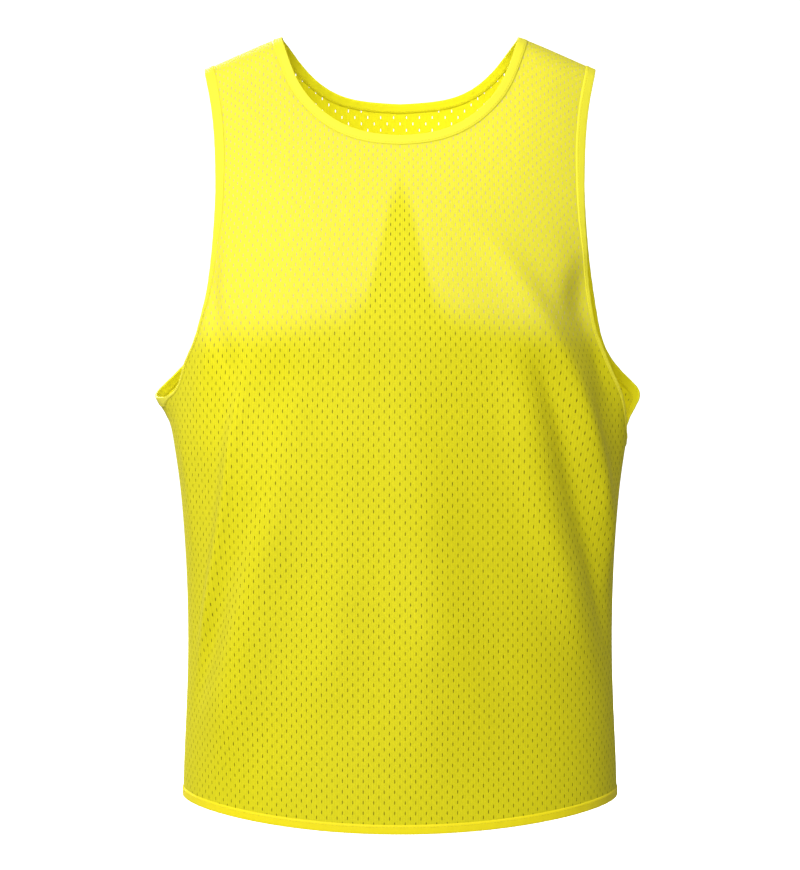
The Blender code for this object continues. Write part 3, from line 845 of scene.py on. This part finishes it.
def stitches(name, lines):
    """Stitches set end to end along lines of points and normals: each is the stitch shape scaled to its
    length and radius, with its x along the line and its z along the normal."""
    shape, faces = stitch_shape()
    points, quads, first = [], [], 0
    for line, normals in lines:
        length = lengths_along(line)
        count = int(length[-1] / STITCH_PITCH)
        at = (np.arange(count) + 0.5) * length[-1] / count
        place = read_at(at, length, line)
        x = unit(read_at(at + STITCH_REACH, length, line) - read_at(at - STITCH_REACH, length, line))
        z = unit(read_at(at, length, normals))
        y = unit(np.cross(z, x))
        z = np.cross(x, y)
        scaled = shape * (STITCH_LENGTH, STITCH_RADIUS, STITCH_RADIUS)
        made = place[:, None] + np.einsum("pk,nkj->npj", scaled, np.stack([x, y, z], axis=1))
        points.append(made.reshape(-1, 3))
        quads.append((faces[None] + first + len(shape) * np.arange(count)[:, None, None]).reshape(-1, 4))
        first += len(shape) * count
    points, quads = np.concatenate(points), np.concatenate(quads)
    return mesh_object(name, points, quads, NO_TRIANGLES, {"lay": points[:, :2] * MM})


def trim_stitches(name, places, width):
    """The topstitch of a trim, on its outer and on its inner leg."""
    strip = Strip(places, width, TRIM_STEP / 2, name.startswith("armhole"))
    points, normals = strip.at(width - STITCH_FROM_SEAM)
    points, normals = np.concatenate([points, points[:1]]), np.concatenate([normals, normals[:1]])
    out = TRIM_GAP / 2 + TRIM_CLOTH + STITCH_OUT * STITCH_RADIUS
    return stitches(name, [(points + normals * out, normals), (points - normals * out, -normals)])


def seam_strip(name, centre, across, normal):
    """The sewn edge inside a seam: a rounded flat bar carried along the seam line.

    A point is the line's point, plus across times a share of the width, minus the normal times a share
    of the thickness, with small scallops along its free edge from its overlock.
    """
    swing = np.radians(np.arange(0, 360, 30) + 15)
    over = 0.5 + 0.5 * np.sign(np.cos(swing)) * np.abs(np.cos(swing)) ** 0.5
    up = 0.5 * np.sin(swing)
    length = lengths_along(centre)
    scallop = 1 + OVERLOCK_DEPTH * np.sin(2 * np.pi * length / OVERLOCK_PITCH)
    thick = SEAM_STRIP_THICKNESS
    grid = (
        centre[:, None]
        + across[:, None] * (over[None] * SEAM_STRIP_WIDTH * scallop[:, None])[..., None]
        + normal[:, None] * (up[None] * thick - thick / 2 - PANEL_THICKNESS / 2 - SEAM_STRIP_GAP)[..., None]
    )
    rows, count = grid.shape[:2]
    k = np.arange(1, count - 2, 2)
    near_end = np.stack([0 * k, k, k + 1, k + 2], axis=-1)
    quads = np.concatenate([grid_quads(rows, count), near_end[:, ::-1], near_end + (rows - 1) * count])
    handed = np.einsum("ij,ij->i", np.cross(across, normal), np.gradient(centre, axis=0)).mean()
    if handed < 0:
        quads = quads[:, ::-1]
    lay = grid_map(length, over * SEAM_STRIP_WIDTH) * MM
    # The whole strip is marked as inner side, for its painted light
    zone = np.tile((0.0, INNER_SIDE), (len(lay), 1))
    return mesh_object(name, grid.reshape(-1, 3), quads, NO_TRIANGLES, {"lay": lay, "zone": zone})


def side_seam_strip(side):
    """Inside each side seam, laid towards the back, from the hem band to the armhole's binding."""
    foot = hem_inset("back", HEM_BAND_WIDTH - 2, OUTLINE_STEP)[0, 1]
    top = armhole_inset("back", side, BINDING_WIDTH - 2, OUTLINE_STEP)[0, 1]
    along = np.linspace(top, foot, SIDE_SEAM_ROWS)
    turn = np.full_like(along, SIDES[side] * 89.9)
    centre, normal = cloth_point("back", turn, along), cloth_normal("back", turn, along)
    ahead = cloth_point("back", turn - SIDES[side] * 2.0, along) - centre
    across = unit(ahead - normal * np.einsum("ij,ij->i", ahead, normal)[:, None])
    return seam_strip(f"side_seam_{side}", centre, across, normal)


def shoulder_seam_strip(side):
    """Inside each shoulder seam, laid towards the back, from the neck's binding to the armhole's."""
    out = np.linspace(NECK_HALF_WIDTH + 8, TIP_HALF_WIDTH - 8, SHOULDER_SEAM_ROWS)
    turn = SIDES[side] * turn_at_shoulder(out)
    along = np.full_like(turn, 0.3)
    centre, normal = cloth_point("back", turn, along), cloth_normal("back", turn, along + 1)
    across = unit(cloth_point("back", turn, along + 4) - centre)
    return seam_strip(f"shoulder_seam_{side}", centre, across, normal)


# ---------------------------------------------------------------- finishes

# Finishes: colour, colour of the painted shade in the knit's hollows and round the eyelets, which is also the
# colour of its darker flecks, roughness, pitches of the ribs and loops, relief in mm, and the shares of light
# let through from the outer and from the inner side. The mesh's pitches are in pitches of its eyelets, and the
# others' in metres.
FINISHES = {
    "mesh_knit": ((0.82, 0.785, 0.009), (0.52, 0.46, 0.0), 0.62, (0.5, 0.125), 0.03, (0.42, 0.24)),
    "rib_binding": ((0.88, 0.84, 0.05), (0.66, 0.56, 0.0), 0.6, (0.0019, 0.0012), 0.03, (0.25, 0.12)),
    "hem_knit": ((0.88, 0.78, 0.007), (0.66, 0.52, 0.0), 0.6, (0.0022, 0.0012), 0.03, (0.22, 0.12)),
    "stitch_thread": ((0.72, 0.64, 0.01), (0.42, 0.32, 0.0), 0.42, (0.0004, 0.0007), 0.02, (0.0, 0.0)),
}
# Painted light and shade: the inner side of the cloth and the chest's zone painted paler as light, and the
# eyelets' slits and pits' floors painted dark as shade, lighter in the chest's zone
INNER_PAINTED_LIGHT = (0.90, 0.85, 0.012)
CHEST_PAINTED_LIGHT = (0.83, 0.79, 0.085)
PIT_PAINTED_SHADE, PIT_PAINTED_LIGHT = (0.27, 0.235, 0.0), (0.66, 0.56, 0.38)
SHEEN_COLOUR = (1.0, 0.97, 0.55)
CLOUD_TINT = (0.95, 0.93, 0.9)
CLOUD_STRENGTH, CLOUD_START = 0.5, -0.1
FLECK_STRENGTH, FLECK_RELIEF, FLECK_ROUGHNESS = 0.12, 0.3, 0.12
# Strengths of the painted shade in the knit's hollows, of the painted light on the chest, and of the painted
# shade round each eyelet, which is lighter in the chest's zone
HOLLOW_SHADE_STRENGTH, CHEST_PAINTED_LIGHT_STRENGTH, RIM_SHADE_AND_LIGHT_STRENGTH = 0.75, 0.6, 0.12
LOOP_SLANT, LOOP_RELIEF = 1.2, 0.35
SHADE_STRENGTH, SHADE_MIDDLE = 0.25, 0.6


def node_group(name, place, numbers, outputs):
    """A shader node group with a place and numbers going in and numbers coming out, and its two end nodes."""
    group = bpy.data.node_groups.new(name, "ShaderNodeTree")
    group.interface.new_socket(name=place, in_out="INPUT", socket_type="NodeSocketVector")
    for label, value in numbers.items():
        socket = group.interface.new_socket(name=label, in_out="INPUT", socket_type="NodeSocketFloat")
        socket.default_value = value
    for label in outputs:
        group.interface.new_socket(name=label, in_out="OUTPUT", socket_type="NodeSocketFloat")
    return group, group.nodes.new("NodeGroupInput"), group.nodes.new("NodeGroupOutput")


def feed(tree, socket, value):
    """Give an input a plain number, a plain colour, or what another socket puts out."""
    if isinstance(value, (int, float)):
        socket.default_value = value
    elif isinstance(value, tuple):
        socket.default_value = (*value, 1.0)
    else:
        tree.links.new(value, socket)


def number_node(tree, operation, *values, clamp=False):
    """A Math node whose inputs are sockets or plain numbers; gives its output."""
    node = tree.nodes.new("ShaderNodeMath")
    node.operation = operation
    node.use_clamp = clamp
    for socket, value in zip(node.inputs, values):
        feed(tree, socket, value)
    return node.outputs[0]


def knit_group():
    """Knit loops from the flat lay: ribs of one pitch across, and slanted stitches of another down them.
    Height is their relief, and Shade is low in their hollows, where the colour gets painted shade.
    """
    numbers = {"Rib Pitch": 0.0011, "Loop Pitch": 0.0009}
    group, start, end = node_group("knit_loops", "Lay", numbers, ("Height", "Shade"))
    parts = group.nodes.new("ShaderNodeSeparateXYZ")
    group.links.new(start.outputs["Lay"], parts.inputs[0])
    across = number_node(group, "DIVIDE", parts.outputs["X"], start.outputs["Rib Pitch"])
    down = number_node(group, "DIVIDE", parts.outputs["Y"], start.outputs["Loop Pitch"])
    from_middle = number_node(group, "PINGPONG", across, 0.5)
    rib = number_node(group, "SINE", number_node(group, "MULTIPLY", from_middle, 2 * np.pi))
    slant = number_node(group, "ADD", down, number_node(group, "MULTIPLY", from_middle, LOOP_SLANT))
    loop = number_node(group, "SINE", number_node(group, "MULTIPLY", slant, 2 * np.pi))
    height = number_node(group, "MULTIPLY_ADD", loop, LOOP_RELIEF, rib)
    group.links.new(height, end.inputs["Height"])
    shade = number_node(group, "MULTIPLY_ADD", height, SHADE_STRENGTH, SHADE_MIDDLE, clamp=True)
    group.links.new(shade, end.inputs["Shade"])
    return group


def eyelet_group():
    """How near a place is to its eyelet, from the lattice map: 1 on the ring's edge and 0 away from it.

    Whole and half numbers of the map are columns and rows, so an eyelet stands where both are whole or
    both are half. The nearer of those two is kept. Across counts three times as far as down.
    """
    numbers = {"Inner": 0.15, "Outer": 0.26}
    group, start, end = node_group("eyelet_rim", "Lattice", numbers, ("Rim", "Slit"))
    parts = group.nodes.new("ShaderNodeSeparateXYZ")
    group.links.new(start.outputs["Lattice"], parts.inputs[0])
    found = []
    for shift in (0.0, 0.5):
        away = []
        for axis, scale in (("X", 3.0), ("Y", 1.0)):
            moved = number_node(group, "ADD", parts.outputs[axis], shift)
            away.append(number_node(group, "MULTIPLY", number_node(group, "PINGPONG", moved, 0.5), scale))
        squares = [number_node(group, "POWER", share, 2.0) for share in away]
        found.append(number_node(group, "SQRT", number_node(group, "ADD", *squares)))
    near = number_node(group, "MINIMUM", *found)
    for label, low, high in (("Rim", "Outer", "Inner"), ("Slit", "Inner", None)):
        mask = group.nodes.new("ShaderNodeMapRange")
        mask.interpolation_type = "SMOOTHSTEP"
        group.links.new(near, mask.inputs["Value"])
        group.links.new(start.outputs[low], mask.inputs["From Min"])
        if high:
            group.links.new(start.outputs[high], mask.inputs["From Max"])
        else:
            half = number_node(group, "MULTIPLY", start.outputs["Inner"], 0.6)
            group.links.new(half, mask.inputs["From Max"])
        group.links.new(mask.outputs[0], end.inputs[label])
    return group


def tone_group():
    """Uneven dye and lie of the cloth: broad soft clouds, and a finer fleck, round a middle of one half."""
    numbers = {"Cloud Size": 9.0, "Fleck Size": 900.0}
    group, start, end = node_group("cloth_tone", "Place", numbers, ("Cloud", "Fleck"))
    for label, scale, detail in (("Cloud", "Cloud Size", 2.0), ("Fleck", "Fleck Size", 1.0)):
        noise = group.nodes.new("ShaderNodeTexNoise")
        noise.inputs["Detail"].default_value = detail
        group.links.new(start.outputs["Place"], noise.inputs["Vector"])
        group.links.new(start.outputs[scale], noise.inputs["Scale"])
        group.links.new(noise.outputs["Fac"], end.inputs[label])
    return group


def placed_group(tree, group, **values):
    """A node group put into a tree, with its inputs fed by their names."""
    node = tree.nodes.new("ShaderNodeGroup")
    node.node_tree = group
    for label, value in values.items():
        feed(tree, node.inputs[label.replace("_", " ")], value)
    return node


def mixed(tree, share, first, second):
    """A colour mix of two sockets or plain colours by a share."""
    node = tree.nodes.new("ShaderNodeMix")
    node.data_type = "RGBA"
    for place, value in ((0, share), (6, first), (7, second)):
        feed(tree, node.inputs[place], value)
    return node.outputs[2]


def cloth_finish(name, groups, eyelets):
    """A knitted finish from its row of the table: dye clouds and flecks in the colour, knit loops in relief
    with painted shade in their hollows, and for the mesh its eyelets, whose slits, rims and pits' floors are
    painted dark as shade, and lighter as painted light in the chest's zone, where the cloth is painted paler
    too. The inner side of the cloth is painted paler, as painted light, and lets less light through.
    """
    # deep is the colour of the painted shade in hollows and round the eyelets, and of the darker flecks
    colour, deep, rough, pitches, relief, see_through = FINISHES[name]
    made = bpy.data.materials.new(name)
    made.use_nodes = True
    tree = made.node_tree
    shader = tree.nodes["Principled BSDF"]
    lay = tree.nodes.new("ShaderNodeUVMap")
    lay.uv_map = "lattice" if eyelets else "lay"
    place = tree.nodes.new("ShaderNodeTexCoord")
    tone = placed_group(tree, groups["tone"], Place=place.outputs["Object"])
    knit = placed_group(tree, groups["knit"], Lay=lay.outputs[0], Rib_Pitch=pitches[0], Loop_Pitch=pitches[1])
    cloud = number_node(tree, "MULTIPLY_ADD", tone.outputs["Cloud"], CLOUD_STRENGTH, CLOUD_START, clamp=True)
    base = mixed(tree, cloud, colour, tuple(part * tint for part, tint in zip(colour, CLOUD_TINT)))
    base = mixed(tree, number_node(tree, "MULTIPLY", tone.outputs["Fleck"], FLECK_STRENGTH), base, deep)
    # Painted shade: the knit's hollows darken towards the colour of shade
    hollow_shade = number_node(tree, "SUBTRACT", 1.0, knit.outputs["Shade"])
    base = mixed(tree, number_node(tree, "MULTIPLY", hollow_shade, HOLLOW_SHADE_STRENGTH), base, deep)
    height = number_node(tree, "MULTIPLY_ADD", tone.outputs["Fleck"], FLECK_RELIEF, knit.outputs["Height"])
    if see_through[0]:
        zone = tree.nodes.new("ShaderNodeUVMap")
        zone.uv_map = "zone"
        parts = tree.nodes.new("ShaderNodeSeparateXYZ")
        tree.links.new(zone.outputs[0], parts.inputs[0])
        off_mark = number_node(tree, "SUBTRACT", parts.outputs["Y"], INNER_SIDE)
        off_mark = number_node(tree, "ABSOLUTE", off_mark)
        inner = number_node(tree, "SUBTRACT", 1.0, number_node(tree, "MULTIPLY", off_mark, 4.0), clamp=True)
        # Painted light: the inner side of the cloth is painted paler
        base = mixed(tree, inner, base, INNER_PAINTED_LIGHT)
    if eyelets:
        # Painted shade on the pits' walls and floors, only where their outer side is seen
        behind = tree.nodes.new("ShaderNodeNewGeometry").outputs["Backfacing"]
        on_floor = number_node(tree, "LESS_THAN", parts.outputs["Y"], FLOOR_MARK)
        floor = number_node(tree, "SUBTRACT", on_floor, behind, clamp=True)
        # Painted light: the chest's zone is painted paler
        base = mixed(tree, number_node(tree, "MULTIPLY", parts.outputs["X"], CHEST_PAINTED_LIGHT_STRENGTH), base, CHEST_PAINTED_LIGHT)
        # Painted shade round each eyelet's rim, lighter in the chest's zone as painted light
        rim = placed_group(tree, groups["eyelet"], Lattice=lay.outputs[0])
        tint = mixed(tree, parts.outputs["X"], deep, PIT_PAINTED_LIGHT)
        base = mixed(tree, number_node(tree, "MULTIPLY", rim.outputs["Rim"], RIM_SHADE_AND_LIGHT_STRENGTH), base, tint)
        # Painted shade in each slit and on the pits' walls and floors, lighter in the chest's zone as painted
        # light
        pit = mixed(tree, parts.outputs["X"], PIT_PAINTED_SHADE, PIT_PAINTED_LIGHT)
        base = mixed(tree, number_node(tree, "MAXIMUM", rim.outputs["Slit"], floor), base, pit)
    tree.links.new(base, shader.inputs["Base Color"])
    least = rough - FLECK_ROUGHNESS / 2
    rough_now = number_node(tree, "MULTIPLY_ADD", tone.outputs["Fleck"], FLECK_ROUGHNESS, least)
    tree.links.new(rough_now, shader.inputs["Roughness"])
    bump = tree.nodes.new("ShaderNodeBump")
    bump.inputs["Strength"].default_value = 1.0
    bump.inputs["Distance"].default_value = relief * MM
    tree.links.new(height, bump.inputs["Height"])
    tree.links.new(bump.outputs[0], shader.inputs["Normal"])
    shader.inputs["Metallic"].default_value = 0.0
    shader.inputs["Specular IOR Level"].default_value = 0.22
    shader.inputs["Sheen Weight"].default_value = 0.07
    shader.inputs["Sheen Roughness"].default_value = 0.5
    shader.inputs["Sheen Tint"].default_value = (*SHEEN_COLOUR, 1.0)
    if see_through[0]:
        through = tree.nodes.new("ShaderNodeBsdfTranslucent")
        tree.links.new(base, through.inputs["Color"])
        tree.links.new(bump.outputs[0], through.inputs["Normal"])
        share = number_node(tree, "MULTIPLY_ADD", inner, see_through[1] - see_through[0], see_through[0])
        both = tree.nodes.new("ShaderNodeMixShader")
        tree.links.new(share, both.inputs[0])
        tree.links.new(shader.outputs[0], both.inputs[1])
        tree.links.new(through.outputs[0], both.inputs[2])
        tree.links.new(both.outputs[0], tree.nodes["Material Output"].inputs["Surface"])
    return made


# ---------------------------------------------------------------- the studio

LIGHTS = (  # name, turn from the camera's side towards the wearer's left, rise, power
    ("behind", -152, 30, 104.0),
    ("high_front", -25, 42, 73.0),
    ("low_front", -25, 8, 31.0),
    ("right_side", -100, 8, 22.0),
    ("left_side", 90, 42, 6.0),
    ("low_middle", 0, 8, 21.0),
)
LIGHT_DISTANCE, LIGHT_SIZE = 3.0, 1.2  # metres, as all sizes of the studio are
LIGHTS_AIM = (0.0, 0.0, -0.33)
SKY = 0.365
BOWL_BOTTOM = -0.75
BOWL_GLOW = 0.95
# The camera is in front of the shoulders' plane, below them and tipped down. The photograph's focal length
# is 2344 pixels, and the 870 pixels of its longer side are the sensor's 36 mm.
CAMERA_PLACE = (0.0, -2.1, -0.289)
CAMERA_TIP = 1.47
SENSOR = 36.0
LENS = 2344 / 870 * 36


def studio_bowl():
    """A plain white room turned round the Z axis: flat floor, round cove, wall and dome."""
    swing = np.radians(np.linspace(0, 90, 13))
    floor = [(r, 0.0) for r in (0.0, 1.0, 2.5, 4.0)]
    cove = [(5.0 + 2.0 * np.sin(a), 2.0 - 2.0 * np.cos(a)) for a in swing]
    dome = [(7.0 * np.cos(a), 4.0 + 5.0 * np.sin(a)) for a in swing]
    profile = np.array(floor + cove + dome)
    turn = np.radians(np.arange(0, 360, 7.5))
    out, up = profile[:, :1], profile[:, 1:]
    grid = np.stack([out * np.cos(turn), out * np.sin(turn), up + BOWL_BOTTOM + 0 * turn], axis=-1)
    quads = grid_quads(*grid.shape[:2])
    made = mesh_object("studio_bowl", grid.reshape(-1, 3) / MM, quads, NO_TRIANGLES, {})
    paint = bpy.data.materials.new("studio_white")
    paint.use_nodes = True
    shader = paint.node_tree.nodes["Principled BSDF"]
    shader.inputs["Base Color"].default_value = (0.8, 0.8, 0.8, 1.0)
    shader.inputs["Roughness"].default_value = 0.9
    shader.inputs["Emission Color"].default_value = (1.0, 1.0, 1.0, 1.0)
    shader.inputs["Emission Strength"].default_value = BOWL_GLOW
    made.data.materials.append(paint)
    made.visible_diffuse = made.visible_glossy = made.visible_transmission = False
    made.visible_shadow = False


def soft_light(name, turn, rise, power):
    """A white disk of light, aimed at the cloth's middle from a turn and a rise round it."""
    turn, rise = np.radians(turn), np.radians(rise)
    away = Vector((np.sin(turn) * np.cos(rise), -np.cos(turn) * np.cos(rise), np.sin(rise)))
    light = bpy.data.lights.new(name, "AREA")
    light.shape = "DISK"
    light.size = LIGHT_SIZE
    light.energy = power
    made = bpy.data.objects.new(name, light)
    made.location = Vector(LIGHTS_AIM) + LIGHT_DISTANCE * away
    made.rotation_mode = "QUATERNION"
    made.rotation_quaternion = (Vector(LIGHTS_AIM) - made.location).to_track_quat("-Z", "Y")
    bpy.context.scene.collection.objects.link(made)


def camera():
    """The photograph's view."""
    data = bpy.data.cameras.new("camera")
    data.sensor_width = SENSOR
    data.lens = LENS
    made = bpy.data.objects.new("camera", data)
    made.location = CAMERA_PLACE
    made.rotation_euler = (np.radians(90 - CAMERA_TIP), 0.0, 0.0)
    bpy.context.scene.collection.objects.link(made)
    bpy.context.scene.camera = made


def studio():
    """Camera, white room, even light from the sky, and the lights of the table, in Blender's Standard view."""
    camera()
    studio_bowl()
    world = bpy.data.worlds.new("studio")
    world.use_nodes = True
    world.node_tree.nodes["Background"].inputs["Color"].default_value = (1.0, 1.0, 1.0, 1.0)
    world.node_tree.nodes["Background"].inputs["Strength"].default_value = SKY
    bpy.context.scene.world = world
    for row in LIGHTS:
        soft_light(*row)
    scene = bpy.context.scene
    scene.view_settings.view_transform = "Standard"
    scene.view_settings.look = "None"


# ---------------------------------------------------------------- the singlet


def put(piece, node, material):
    """Give a piece its material, its body and slot, and the solid that it replaces if there is one."""
    piece.data.materials.append(material)
    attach(piece, "root")
    if node:
        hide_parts(node)
    return piece


def main():
    """Load the solids, build the studio, the finishes and all pieces."""
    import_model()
    studio()
    groups = {"knit": knit_group(), "eyelet": eyelet_group(), "tone": tone_group()}
    finishes = {name: cloth_finish(name, groups, name == "mesh_knit") for name in FINISHES}

    sheets = {"front": (0.50, 0.70, 0.272), "back": (0.50, 0.72, 0.284)}  # wide, long, area
    for panel, (wide, long, area) in sheets.items():
        piece = put(panel_cloth(panel), f"{panel}_panel", finishes["mesh_knit"])

    def armhole_places(side):
        return lambda panel, width, step: armhole_inset(panel, side, width, step)

    # name, places, width, whether its faces turn clockwise, slot, height of the ripple
    trims = [("neck_binding", neck_inset, BINDING_WIDTH, True, "rib_binding", 0.10)]
    for side in SIDES:
        name = f"armhole_binding_{side}"
        trims.append((name, armhole_places(side), BINDING_WIDTH, side == "right", "rib_binding", 0.12))
    trims.append(("hem_band", hem_inset, HEM_BAND_WIDTH, False, "hem_knit", 0.12))
    for name, places, width, clockwise, slot, ripple in trims:
        piece, length = folded_strip(f"{name}_cloth", places, width, clockwise, ripple)
        put(piece, name, finishes[slot])
        line = put(trim_stitches(f"{name}_stitches", places, width), None, finishes["stitch_thread"])
    for side in SIDES:
        for strip in (side_seam_strip, shoulder_seam_strip):
            put(strip(side), None, finishes["hem_knit"])


main()
